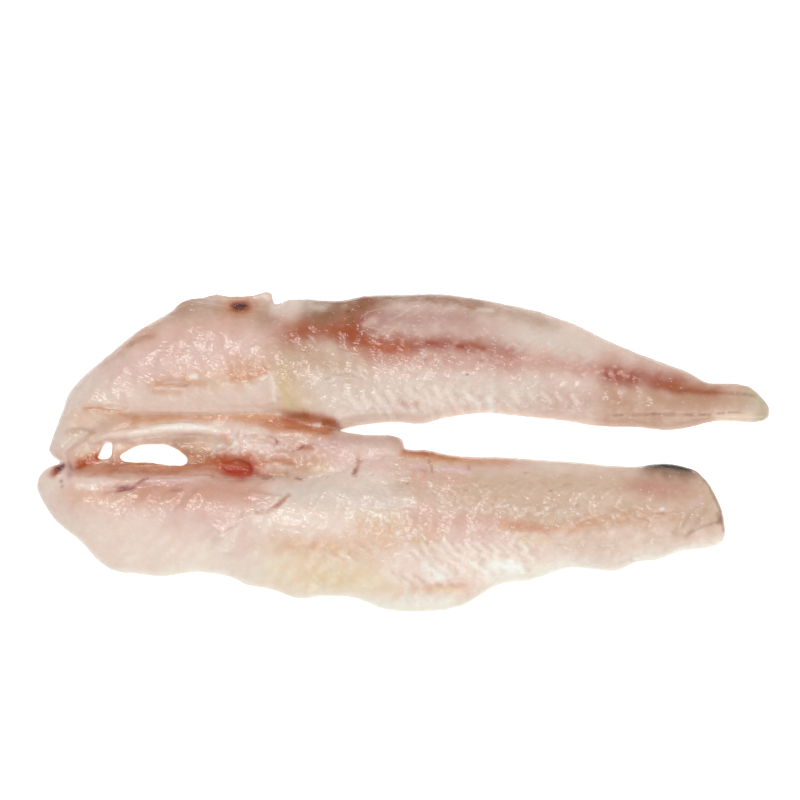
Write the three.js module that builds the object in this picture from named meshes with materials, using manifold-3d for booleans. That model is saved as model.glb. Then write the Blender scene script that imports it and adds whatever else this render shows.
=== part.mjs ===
// A raw double fillet of whiting: two long skinless sides, still joined by the thin web of the
// nape at the head end, with both tails pointing the same way. One solid, millimetres, +Z up.
// Plan positions are measured as laid out: x from the head end, y from the near edge.

import * as THREE from "three";
import { LoftGeometry } from "three/addons/geometries/LoftGeometry.js";
import { ImprovedNoise } from "three/addons/math/ImprovedNoise.js";
import { mergeVertices } from "three/addons/utils/BufferGeometryUtils.js";
import Module from "manifold-3d";

const wasm = await Module();
wasm.setup();
const { lerp, smoothstep } = THREE.MathUtils;

// Driving dimensions
const upperThickness = 11;            // the far side at its thickest
const lowerThickness = 11.5;          // the near side at its thickest
const webThickness = 1.9;             // the membrane between the sides
const napeThickness = 4.3;            // the flap torn up at the far rim
const bandPitch = 7.5;                // from one muscle band to the next
const bandRelief = 0.22;              // how far a band stands proud
const lumpRelief = 0.75;              // the slow unevenness of soft flesh
const seamDepth = 0.5;                // the furrow between the upper and lower muscles of a side
const rimBulge = 0.4;                 // how far a rim swells past the outline it rests on
const widestAt = 0.4;                 // where it is widest, as a share of the rim's height
const bowStart = 0.93;                // from where along a side its bowed end begins
const rimFade = 6;                    // how far in from a rim the relief is at its full height
const undercut = 0.8;                 // how far the underside stays in from the rim
const pitFloor = 2.6;                 // height of the bottom of the pit
const flakeThickness = 3;             // a loose flake, most of it sunk in the flesh
const flakeEdge = 0.9;                // how high its free edge stands
const softEdge = 0.4;                 // the rounding of a torn edge
const columns = 15;                   // facets across the top of a side
const stationPitch = 3;               // from one cross-section to the next
const strandPitch = 2.4;              // the same along a strand
const endSteps = [0, 0.5, 1.4, 2.8];  // finer cross-sections that round an end

const fleshColor = 0xe6cfc6;

// Outlines, each from the head towards the tail
const upperFarRail = [
  [5, 48.5], [3.2, 51], [4.2, 55], [6.3, 62], [8.8, 70], [13.4, 76], [20, 82], [30, 91.2],
  [40, 97.5], [46, 101], [60, 99], [72, 98.3], [76, 100.8], [82, 101.4], [94, 101], [102, 102.8],
  [112, 103], [123, 103.3], [133, 102.3], [142, 101], [154, 98.3], [163, 95.5], [173, 91],
  [183.5, 85.4], [193, 81.2], [205, 76.6], [210, 73.4], [220, 73], [224.5, 71.6], [227.8, 68],
  [229.7, 65],
];
const upperNearRail = [
  [7.5, 47.5], [10, 50], [15, 54], [22, 59], [31, 62], [50, 63], [66, 63], [76, 62], [82, 60.3],
  [91.5, 57.5], [98, 59], [104, 60], [112, 60.6], [120, 60], [126, 61.8], [131, 62.8], [140, 63.8],
  [148, 63], [157, 62], [166, 61], [174, 59.5], [188, 59], [197, 58], [204, 59], [212, 61],
  [227, 61], [229.4, 62.5],
];
const lowerFarRail = [
  [0.6, 40.5], [1.2, 42.8], [3.5, 45], [6.5, 46], [12, 44], [20, 42.5], [32, 42], [52, 42.5],
  [60, 41], [72, 41], [83, 42], [90, 45], [100, 49], [114.5, 50.4], [123, 50.2], [128, 48.8],
  [136, 48.2], [146, 48], [157, 47.2], [168, 46.4], [176, 45.5], [186, 45], [195, 46], [201, 45.2],
  [205.5, 43.5],
];
const lowerNearRail = [
  [0, 39], [0.6, 37.5], [2.5, 34], [7, 28], [15, 21.5], [20.5, 15.5], [25, 12.5], [34, 11.3],
  [40, 10.6], [50, 12], [61, 10.5], [66, 8], [74, 6.5], [79, 4.5], [83, 3.6], [90, 4.5], [99, 4],
  [104, 2], [109, 0.1], [126, 0], [132, 1.5], [138, 5], [143, 8], [153, 9.5], [159, 11.5],
  [164, 13.3], [171, 13], [180, 12.5], [185, 15.2], [191, 15.6], [199, 18.5], [209, 20],
  [212, 21.5], [213, 23.5],
];
const webFarRail = [[7, 50], [9, 53], [15, 58.5], [23, 63.5], [34, 66], [60, 67], [80, 65], [91.5, 59]];
const webNearRail = [[6.5, 43], [10, 41], [20, 39], [34, 38.5], [60, 38], [80, 38], [94, 46]];
const flapFarRail = [[76, 53.5], [84, 56], [92, 57], [97, 56], [105.5, 55.4], [111.5, 55], [114.2, 54]];
const flapNearRail = [[78, 37], [88, 37], [100, 38], [108, 39], [114.6, 41]];
const napeFlap = [
  [43, 88], [44.6, 97], [47.5, 101], [50.6, 102.8], [54, 103.6], [58.5, 102.6], [65, 103],
  [68, 103.8], [70, 104.3], [71.8, 103.8], [72.4, 99.5], [70.5, 93], [60, 88],
];

// The two holes torn through the web, and the pit beside them
const smallHole = [
  [17.7, 48.5], [18.8, 49.7], [20.2, 53.2], [21.2, 53.9], [22.9, 53.7], [22.8, 50], [22.2, 48.4], [20, 48],
];
const largeHole = [
  [24.8, 49.3], [28.3, 51.5], [31, 52.8], [36, 53.2], [39.5, 53.1], [43.4, 51.4], [46.5, 48.7],
  [46.5, 46.7], [44.2, 45.8], [41, 46.1], [35, 47], [30, 47], [26.6, 47.4],
];
const pit = [
  [56.8, 46.2], [58.4, 43.2], [60, 40], [62.2, 41.2], [65.8, 41.4], [67.4, 42.8], [66.4, 45.8], [62.6, 47],
];

// Rolled edges and sinews of the web, each a path of [x, y, z] points and a radius
const bellyFold = [
  [16, 53.4, 1.9], [22, 55, 2.6], [31, 55.8, 3.2], [41, 57.2, 3.4], [51, 57.2, 3.2], [62, 54, 2.8],
];
const lowerFold = [
  [9, 41.7, 3], [15, 39.4, 5.2], [24, 38.7, 6], [36, 38.9, 6.2], [48, 39.5, 5.8], [56, 41.2, 4],
];
const sinew = [[8, 50, 2.2], [8.8, 46.6, 3], [9.8, 43.4, 3.8], [11.6, 40.2, 4.8], [14.5, 38, 4.8]];
const holeStrand = [[24.4, 54.2, 1.6], [23.7, 51, 1.2], [23.6, 48.6, 1.4], [24.6, 45.6, 1.8]];
const ragged = [[52, 45.2, 1.8], [55, 46.8, 3], [58.4, 49.2, 3.6], [61.4, 51.6, 4], [63.6, 55, 3.6]];
const folds = [
  { path: bellyFold, radius: 2.2 },
  { path: lowerFold, radius: 1.9 },
  { path: sinew, radius: 1.3 },
  { path: holeStrand, radius: 1 },
  { path: ragged, radius: 1.3 },
];

// Crumpled flesh right of the holes: [x, y, half length, half width, top]
const crumples = [
  [67, 56.2, 6, 2.6, 6.2], [72, 51.4, 6, 3, 6.8], [82, 55, 10, 3.2, 6], [79, 46.8, 7, 2.6, 6.6],
  [88, 48, 7, 4, 8],
];

// Loose flakes lying on the flesh: an outline, and how it tips so that one edge stands free
const napeFlake = [[66.3, 69.4], [72.6, 72.6], [74.2, 66.4], [73.8, 64.4], [69, 64], [62, 65], [62.4, 67.4]];
const rimFlake = [
  [100.4, 89], [101.2, 92], [103.8, 95], [108, 96.8], [114, 97.2], [120, 95.8], [125, 93], [121, 90.6],
  [112, 89], [105, 87.4],
];
const lowerFlake = [
  [77.4, 32.8], [75, 29.6], [72, 27.4], [68.6, 26.8], [65, 25], [61.6, 22.2], [59, 20], [54, 24.4],
  [58, 32], [68, 35],
];
const flakes = [
  { outline: napeFlake, tip: [0.04, 0.06] },
  { outline: rimFlake, tip: [-0.05, 0] },
  { outline: lowerFlake, tip: [0.1, -0.1] },
];

// Slits that open where the flakes part: [x, y] points and a half width
const slits = [
  { halfWidth: 0.9, path: [[13, 63.2], [18, 63.3], [23, 62.7], [28, 63.5]] },
  { halfWidth: 0.8, path: [[9.5, 54.4], [12.5, 56], [16, 56.4]] },
  { halfWidth: 0.8, path: [[35, 69], [42, 70.2], [49, 69.2]] },
];

const noise = new ImprovedNoise();

// A value that runs smoothly through [place, value] knots
const profile = (...knots) => (place) => {
  const next = knots.findIndex(([at]) => at > place);
  if (next === 0) return knots[0][1];
  if (next < 0) return knots.at(-1)[1];
  const [from, low] = knots[next - 1];
  const [to, high] = knots[next];
  return lerp(low, high, smoothstep(place, from, to));
};

// 0 at an edge, rising as a quarter circle to 1 at one radius from it
const quarterRound = (distance, radius) => {
  const lack = 1 - Math.min(distance / radius, 1);
  return Math.sqrt(1 - lack * lack);
};

// Slow lumps, the muscle bands that lean back from the middle of a side, and its furrow
const fleshRelief = (x, y, across, width) => {
  const lumpy = noise.noise(x / 17, y / 11, 0.4) + 0.5 * noise.noise(x / 8, y / 6, 5.2);
  const lean = Math.abs(across - 0.5) * width * 0.9;
  const band = Math.cos(((x - lean) / bandPitch) * 2 * Math.PI);
  const furrow = Math.exp(-(((across - 0.52) / 0.07) ** 2)) * smoothstep(x, 70, 110);
  return lumpRelief * lumpy + bandRelief * band - seamDepth * furrow;
};

// The web is smooth beside the holes and crumpled further along
const webRelief = (x, y) => {
  const folded = noise.noise(x / 7, y / 4.5, 2.6) + 0.6 * noise.noise(x / 3.5, y / 3, 7.1);
  return folded * lerp(0.4, 1.5, smoothstep(x, 44, 62));
};

const railThrough = (points) => {
  const corners = points.map(([x, y]) => new THREE.Vector3(x, y, 0));
  const rail = new THREE.CatmullRomCurve3(corners, false, "centripetal");
  rail.arcLengthDivisions = 800;
  return rail;
};

const stationsAlong = (length) => {
  const start = endSteps.map((step) => step / length);
  const first = start.at(-1);
  const count = Math.round(length / stationPitch);
  const middle = Array.from({ length: count - 1 }, (_, i) => lerp(first, 1 - first, (i + 1) / count));
  const end = start.map((place) => 1 - place).reverse();
  return [...start, ...middle, ...end];
};

// A closed geometry without doubled corners, as a solid that can be joined and cut
const solidOf = (geometry) => {
  const bare = new THREE.BufferGeometry().copy(geometry);
  bare.deleteAttribute("normal");
  bare.deleteAttribute("uv");
  const merged = mergeVertices(bare, 1e-4);
  const triVerts = Uint32Array.from(merged.index.array);
  const vertProperties = merged.attributes.position.array;
  return new wasm.Manifold(new wasm.Mesh({ numProp: 3, vertProperties, triVerts }));
};

const geometryOf = (solid) => {
  const { vertProperties, triVerts } = solid.getMesh();
  const geometry = new THREE.BufferGeometry();
  geometry.setAttribute("position", new THREE.BufferAttribute(vertProperties, 3));
  geometry.setIndex(new THREE.BufferAttribute(triVerts, 1));
  return geometry;
};

// A side of flesh between two rails: flat below, crowned above, rounded all round its rim.
// The heights of the crest and of both rims change along the side.
const fleshBetween = (side) => {
  const { farRail, nearRail, crest, farRim, nearRim, crestPlace, relief, bow = 0, count = columns } = side;
  const far = railThrough(farRail);
  const near = railThrough(nearRail);
  const length = (far.getLength() + near.getLength()) / 2;
  const crestPower = Math.log(0.5) / Math.log(crestPlace);
  const sectionAt = (along) => {
    const nearPoint = near.getPointAt(along);
    const farPoint = far.getPointAt(along);
    const swelling = farPoint.clone().sub(nearPoint).setLength(rimBulge);
    nearPoint.sub(swelling);
    farPoint.add(swelling);
    const width = nearPoint.distanceTo(farPoint);
    const fromEnd = Math.min(along, 1 - along) * length;
    const endRound = 0.5 + 0.5 * quarterRound(fromEnd, endSteps.at(-1));
    const swell = bow * smoothstep(along, bowStart, 1);
    const ring = [];
    for (let i = count; i >= 0; i -= 1) {
      const across = (1 - Math.cos((i / count) * Math.PI)) / 2;
      const point = nearPoint.clone().lerp(farPoint, across);
      point.x += swell * 4 * across * (1 - across);
      const rim = lerp(nearRim(along), farRim(along), across);
      const crown = Math.sin(Math.PI * across ** crestPower) ** 0.8;
      const fromRim = Math.min(across, 1 - across) * width;
      const open = quarterRound(fromRim, rimFade);
      const top = rim + (crest(along) - rim) * crown + open * relief(point.x, point.y, across, width);
      const round = quarterRound(fromRim, Math.min(rim * (1 - widestAt), width * 0.3));
      point.z = lerp(rim * widestAt, top, round) * endRound;
      ring.push(point);
    }
    const inset = Math.min(undercut / width, 0.3);
    for (const across of [inset, 1 - inset]) {
      const point = nearPoint.clone().lerp(farPoint, across);
      point.x += swell * 4 * across * (1 - across);
      ring.push(point);
    }
    return ring;
  };
  const sections = stationsAlong(length).map(sectionAt);
  return solidOf(new LoftGeometry(sections, { capStart: true, capEnd: true }));
};

const outlineShape = (points) => {
  const shape = new THREE.Shape();
  shape.setFromPoints(points.map(([x, y]) => new THREE.Vector2(x, y)));
  return shape;
};

// A flat piece with a rounded rim, its straight wall standing on z = 0
const slabOf = (points, height, rim) => {
  return new THREE.ExtrudeGeometry(outlineShape(points), {
    depth: height - 2 * rim,
    bevelEnabled: rim > 0,
    bevelThickness: rim,
    bevelSize: rim,
    bevelOffset: -rim,
    bevelSegments: 2,
  });
};

// A round strand that tapers into what it meets
const strandAlong = (path, radius) => {
  const route = new THREE.CatmullRomCurve3(path.map((point) => new THREE.Vector3(...point)));
  const steps = Math.ceil(route.getLength() / strandPitch);
  const sections = Array.from({ length: steps + 1 }, (_, i) => {
    const along = i / steps;
    const centre = route.getPointAt(along);
    const forward = route.getTangentAt(along);
    const side = new THREE.Vector3(0, 0, 1).cross(forward).normalize();
    const up = forward.clone().cross(side);
    const girth = radius * (0.35 + 0.65 * Math.sin(Math.PI * along) ** 0.5);
    const wavy = girth * (1 + 0.18 * noise.noise(centre.x / 4, centre.y / 4, radius));
    return Array.from({ length: 8 }, (_, k) => {
      const turn = (k / 8) * 2 * Math.PI;
      const point = centre.clone().addScaledVector(side, wavy * Math.cos(turn));
      return point.addScaledVector(up, wavy * Math.sin(turn));
    });
  });
  return solidOf(new LoftGeometry(sections, { capStart: true, capEnd: true }));
};

// An uneven ball, squeezed to three radii
const ballAt = ([x, y, z], [rx, ry, rz]) => {
  const ball = new THREE.SphereGeometry(1, 12, 8);
  const corners = ball.attributes.position;
  const corner = new THREE.Vector3();
  for (let i = 0; i < corners.count; i += 1) {
    corner.fromBufferAttribute(corners, i);
    corner.multiplyScalar(1 + 0.3 * noise.noise(1.6 * corner.x + x, 1.6 * corner.y + y, 1.6 * corner.z));
    corners.setXYZ(i, corner.x, corner.y, corner.z);
  }
  ball.rotateX(Math.PI / 2);
  ball.scale(rx, ry, rz);
  ball.translate(x, y, z);
  return solidOf(ball);
};

// Height of a solid's top near a plan position, from its nearest corner on that side
const topNear = (solid, x, y) => {
  const { vertProperties } = solid.getMesh();
  let nearest = Infinity;
  let height = 0;
  for (let i = 0; i < vertProperties.length; i += 3) {
    const apart = Math.hypot(vertProperties[i] - x, vertProperties[i + 1] - y);
    if (apart < nearest && vertProperties[i + 2] > 1) {
      nearest = apart;
      height = vertProperties[i + 2];
    }
  }
  return height;
};

const upperCrest = [
  [0, 4], [0.1, 7.5], [0.22, upperThickness], [0.62, 0.95 * upperThickness], [0.8, 7], [1, 2.6],
];
const upperSide = fleshBetween({
  farRail: upperFarRail,
  nearRail: upperNearRail,
  crest: profile(...upperCrest),
  farRim: profile([0, 2.4], [0.12, 4], [0.5, 4.6], [0.8, 3.4], [1, 2]),
  nearRim: profile([0, 2.4], [0.12, 3.6], [0.38, 5], [0.5, 3], [0.7, 2.2], [1, 2]),
  crestPlace: 0.45,
  relief: fleshRelief,
});

const lowerCrest = [
  [0, 4], [0.12, 8], [0.3, lowerThickness], [0.62, 0.93 * lowerThickness], [0.85, 8.4], [1, 6],
];
const lowerSide = fleshBetween({
  farRail: lowerFarRail,
  nearRail: lowerNearRail,
  crest: profile(...lowerCrest),
  farRim: profile([0, 2.8], [0.15, 4.4], [0.6, 5], [1, 4.4]),
  nearRim: profile([0, 2.6], [0.15, 2], [0.5, 1.7], [0.8, 2.4], [1, 4]),
  crestPlace: 0.58,
  relief: fleshRelief,
  bow: 2.4,
});

const web = fleshBetween({
  farRail: webFarRail,
  nearRail: webNearRail,
  crest: profile([0, 2.6], [0.12, webThickness], [0.48, webThickness], [0.68, 2.8 * webThickness], [1, 4]),
  farRim: profile([0, 2.2], [0.2, webThickness], [1, 2.8]),
  nearRim: profile([0, 2.2], [0.2, webThickness], [1, 2.8]),
  crestPlace: 0.5,
  relief: webRelief,
  count: 10,
});

const innerFlap = fleshBetween({
  farRail: flapFarRail,
  nearRail: flapNearRail,
  crest: profile([0, 6], [0.3, 8], [1, 7.2]),
  farRim: profile([0, 4], [0.3, 5], [1, 5]),
  nearRim: profile([0, 6], [1, 6]),
  crestPlace: 0.35,
  relief: fleshRelief,
  count: 8,
});

const nape = slabOf(napeFlap, napeThickness, 2 * softEdge);
const lumps = crumples.map(([x, y, rx, ry, top]) => ballAt([x, y, top * 0.4], [rx, ry, top * 0.6]));
const strands = folds.map(({ path, radius }) => strandAlong(path, radius));

let body = upperSide.add(lowerSide).add(web).add(innerFlap).add(solidOf(nape));
for (const piece of [...lumps, ...strands]) {
  body = body.add(piece);
}

const cutDepth = 4 * lowerThickness;
const cutDown = (outline, floor) => {
  body = body.subtract(solidOf(slabOf(outline, cutDepth, 0).translate(0, 0, floor)));
};
cutDown(smallHole, -cutDepth / 2);
cutDown(largeHole, -cutDepth / 2);
cutDown(pit, pitFloor);

// A flake lies along the flesh below it, tipped a little so that one edge stands free
const flakeOn = (solid, { outline, tip }) => {
  const corners = outline.map(([x, y]) => new THREE.Vector3(x, y, topNear(solid, x, y)));
  const middle = new THREE.Vector3();
  corners.forEach((corner) => middle.addScaledVector(corner, 1 / corners.length));
  const spokes = corners.map((corner) => corner.clone().sub(middle));
  const upright = new THREE.Vector3();
  spokes.forEach((spoke, i) => upright.add(spoke.clone().cross(spokes[(i + 1) % spokes.length])));
  upright.multiplyScalar(Math.sign(upright.z)).normalize();
  upright.x -= tip[0];
  upright.y -= tip[1];
  upright.normalize();
  const around = outline.map(([x, y]) => [x - middle.x, y - middle.y]);
  const slab = slabOf(around, flakeThickness, softEdge);
  slab.translate(0, 0, softEdge + flakeEdge / 2 - flakeThickness);
  slab.applyQuaternion(new THREE.Quaternion().setFromUnitVectors(new THREE.Vector3(0, 0, 1), upright));
  return solidOf(slab.translate(middle.x, middle.y, middle.z));
};

for (const flake of flakes) {
  body = body.add(flakeOn(body, flake));
}
for (const { path, halfWidth } of slits) {
  const route = path.map(([x, y]) => [x, y, topNear(body, x, y)]);
  body = body.subtract(strandAlong(route, halfWidth));
}

// Everything rests on one flat face
const tableSize = 600;
const table = new THREE.BoxGeometry(tableSize, tableSize, cutDepth).translate(0, 0, -cutDepth / 2);
body = body.subtract(solidOf(table));

const material = new THREE.MeshStandardMaterial({ color: fleshColor, roughness: 0.35, metalness: 0 });
const fillet = new THREE.Mesh(geometryOf(body), material);
fillet.name = "fillet";
fillet.geometry.computeBoundingBox();
const middle = fillet.geometry.boundingBox.getCenter(new THREE.Vector3());
fillet.position.set(-middle.x, -middle.y, 0);

const doubleFillet = new THREE.Group();
doubleFillet.add(fillet);

export default doubleFillet;
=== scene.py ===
import math

import bmesh
import bpy
import numpy as np
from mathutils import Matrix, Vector


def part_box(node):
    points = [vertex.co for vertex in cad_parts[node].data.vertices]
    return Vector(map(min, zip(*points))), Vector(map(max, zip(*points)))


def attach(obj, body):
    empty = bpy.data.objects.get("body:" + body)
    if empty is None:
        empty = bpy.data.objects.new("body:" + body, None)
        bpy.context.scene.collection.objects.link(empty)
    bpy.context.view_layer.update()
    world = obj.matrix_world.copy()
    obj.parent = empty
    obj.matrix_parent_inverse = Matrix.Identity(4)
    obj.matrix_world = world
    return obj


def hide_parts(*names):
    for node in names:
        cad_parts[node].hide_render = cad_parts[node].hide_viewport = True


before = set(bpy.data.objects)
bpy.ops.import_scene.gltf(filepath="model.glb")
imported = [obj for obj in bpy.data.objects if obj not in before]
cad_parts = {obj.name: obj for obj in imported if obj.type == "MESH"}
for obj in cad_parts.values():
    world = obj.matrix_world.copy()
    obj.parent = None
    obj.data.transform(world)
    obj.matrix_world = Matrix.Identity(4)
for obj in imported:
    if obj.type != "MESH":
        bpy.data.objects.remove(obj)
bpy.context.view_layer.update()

mm = 0.001
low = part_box("fillet")[0]

# Plan positions below are millimetres on the fillet as it lies:
# x from its head end towards the tails, y from its near edge to its far edge.


def smoothStep(value, start, end):
    t = np.clip((value - start) / (end - start), 0, 1)
    return t * t * (3 - 2 * t)


# Smooth noise from -1 to 1, in lumps of about the size given
def grain(x, y, size, seed):
    turns = np.random.default_rng(seed).random((256, 256)) * 2 * math.pi
    gridX, gridY = x / size, y / size
    cellX, cellY = np.floor(gridX).astype(int), np.floor(gridY).astype(int)
    inX, inY = gridX - cellX, gridY - cellY

    def corner(stepX, stepY):
        turn = turns[(cellX + stepX) & 255, (cellY + stepY) & 255]
        return np.cos(turn) * (inX - stepX) + np.sin(turn) * (inY - stepY)

    fadeX, fadeY = inX * inX * (3 - 2 * inX), inY * inY * (3 - 2 * inY)
    near = corner(0, 0) * (1 - fadeX) + corner(1, 0) * fadeX
    far = corner(0, 1) * (1 - fadeX) + corner(1, 1) * fadeX
    return 1.6 * (near * (1 - fadeY) + far * fadeY)


# How far each point is from a path, how far along it in millimetres, and on which side
def pathField(x, y, path):
    if len(path) == 1:
        return np.hypot(x - path[0][0], y - path[0][1]), np.zeros_like(x), np.ones_like(x)
    best = np.full_like(x, np.inf)
    along = np.zeros_like(x)
    side = np.zeros_like(x)
    before = 0
    for (ax, ay), (bx, by) in zip(path, path[1:]):
        dx, dy = bx - ax, by - ay
        length = math.hypot(dx, dy)
        t = np.clip(((x - ax) * dx + (y - ay) * dy) / length ** 2, 0, 1)
        away = np.hypot(x - ax - t * dx, y - ay - t * dy)
        closer = away < best
        best[closer] = away[closer]
        along[closer] = before + t[closer] * length
        side[closer] = np.sign(dx * (y - ay) - dy * (x - ax))[closer]
        before += length
    return best, along, side


# 1 on the path, a half at the width given, then softly to nothing; firm above 2 sharpens the edge,
# patchy lets it come and go along the way
def brush(x, y, path, width, firm=2.0, ragged=0.3, patchy=0.0):
    mask = np.zeros_like(x)
    reach = width * 3
    xs, ys = zip(*path)
    near = (x > min(xs) - reach) & (x < max(xs) + reach) & (y > min(ys) - reach) & (y < max(ys) + reach)
    if near.any():
        nearX, nearY = x[near], y[near]
        away = pathField(nearX, nearY, path)[0]
        torn = grain(nearX, nearY, max(width * 1.3, 1.2), 3)
        torn += 0.5 * grain(nearX, nearY, max(width * 0.5, 0.8), 4)
        away = np.maximum(away + ragged * width * torn, 0)
        mask[near] = 0.5 ** ((away / width) ** firm)
        if patchy:
            size = max(width * 1.6, 1.8)
            mask[near] *= np.clip(1 - patchy * (0.45 + 1.1 * grain(nearX, nearY, size, 5)), 0, 1)
    return mask


# Points dealt out along a path at a pitch, each with its own share of the scatter across it
def dealtAlong(path, pitch, scatter, rng):
    lengths = [math.dist(a, b) for a, b in zip(path, path[1:])]
    total, at, points = sum(lengths), pitch * rng.uniform(0.2, 0.8), []
    while at < total:
        rest, leg = at, 0
        while rest > lengths[leg]:
            rest -= lengths[leg]
            leg += 1
        (ax, ay), (bx, by) = path[leg], path[leg + 1]
        t = rest / lengths[leg]
        points.append((ax + t * (bx - ax) + rng.normal() * scatter * 0.4,
                       ay + t * (by - ay) + rng.normal() * scatter))
        at += pitch * rng.uniform(0.75, 1.25)
    return points


# Linear colour from the 0 to 255 values of a screen, less the pale veil that the wet coat
# lays over whatever is under it
def tone(red, green, blue, veil=0.079, response=0.885):
    seen = [c / 255 / 12.92 if c < 10.3 else ((c / 255 + 0.055) / 1.055) ** 2.4 for c in (red, green, blue)]
    return np.clip((np.array(seen) - veil) / response, 0.003, 0.93)


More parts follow.
